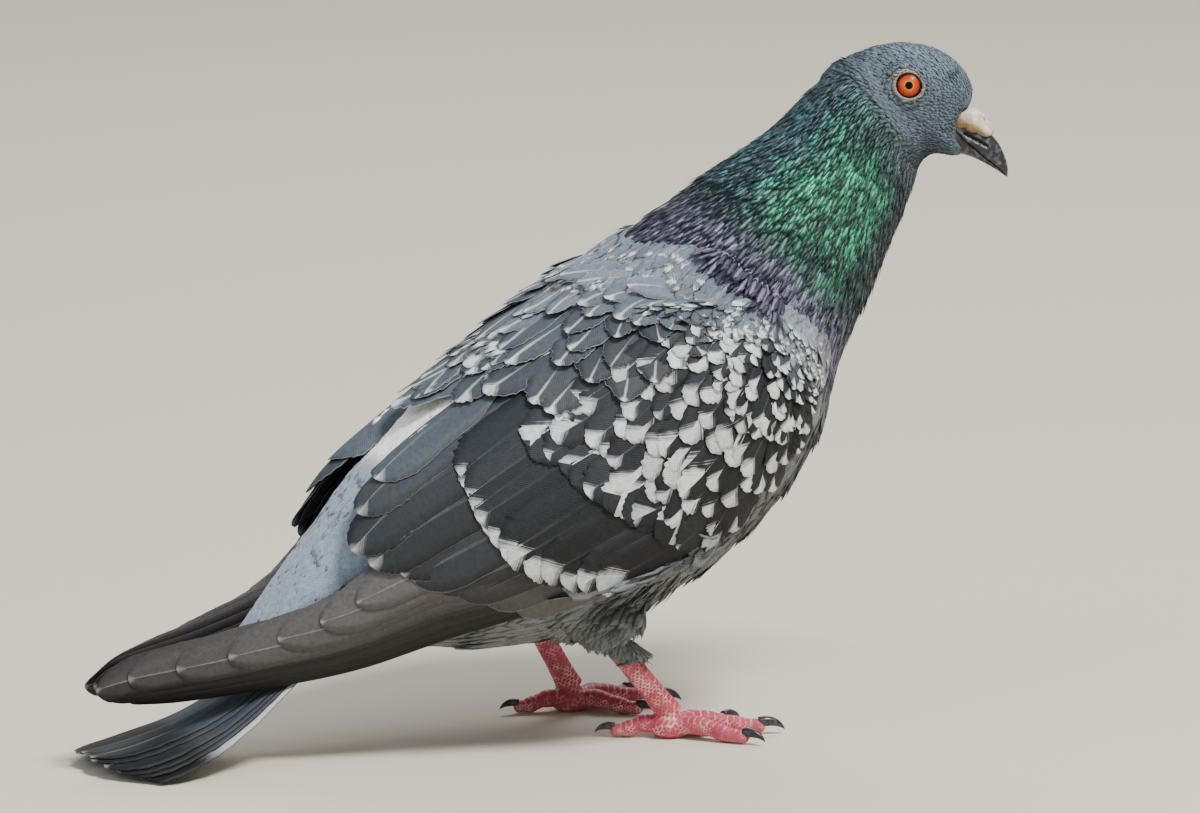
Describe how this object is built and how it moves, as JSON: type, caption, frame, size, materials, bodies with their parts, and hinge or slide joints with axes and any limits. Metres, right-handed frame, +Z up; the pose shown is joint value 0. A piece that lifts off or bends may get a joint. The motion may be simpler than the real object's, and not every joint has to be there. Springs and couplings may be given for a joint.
{
  "type": "pigeon",
  "caption": "Life-size standing pigeon, head turned to its right, wings folded over the rump, tail tip resting on the floor.",
  "frame": {"origin": "on the floor, under the middle of the bird's box from above", "axes": "+X forward along the body, +Y to the bird's left, +Z up"},
  "size_m": [0.2434, 0.0936, 0.1698],
  "materials": {
    "head_feathers": "fine matte slate-grey feathers",
    "neck_feathers": "glossy green feathers over dark slate, violet at the neck's base",
    "body_feathers": "soft matte blue-grey feathers",
    "wing_coverts": "matte slate feathers with dark centres and whitish tips",
    "flight_feathers": "satin brown-black feathers with pale edges",
    "tail_feathers": "satin slate-blue feathers with a black end band",
    "leg": "scaled red skin",
    "claw": "dark horn",
    "bill": "dark grey horn, worn pale in places",
    "cere": "chalky whitish skin",
    "eye": "wet orange eye with a dark pupil"
  },
  "bodies": {
    "root": {"head": "head_feathers", "neck": "neck_feathers", "trunk": "body_feathers", "rump": "body_feathers", "eye_right": "eye", "eye_left": "eye", "bill_upper": "bill", "bill_lower": "bill", "cere": "cere", "wing_right_coverts": "wing_coverts", "wing_right_tertials": "flight_feathers", "wing_right_primaries": "flight_feathers", "wing_left_coverts": "wing_coverts", "wing_left_tertials": "flight_feathers", "wing_left_primaries": "flight_feathers", "tail": "tail_feathers", "thigh_right": "body_feathers", "tarsus_right": "leg", "toe_right_middle": "leg", "toe_right_inner": "leg", "toe_right_outer": "leg", "toe_right_hind": "leg", "claw_right_middle": "claw", "claw_right_inner": "claw", "claw_right_outer": "claw", "claw_right_hind": "claw", "thigh_left": "body_feathers", "tarsus_left": "leg", "toe_left_middle": "leg", "toe_left_inner": "leg", "toe_left_outer": "leg", "toe_left_hind": "leg", "claw_left_middle": "claw", "claw_left_inner": "claw", "claw_left_outer": "claw", "claw_left_hind": "claw"}
  },
  "joints": []
}
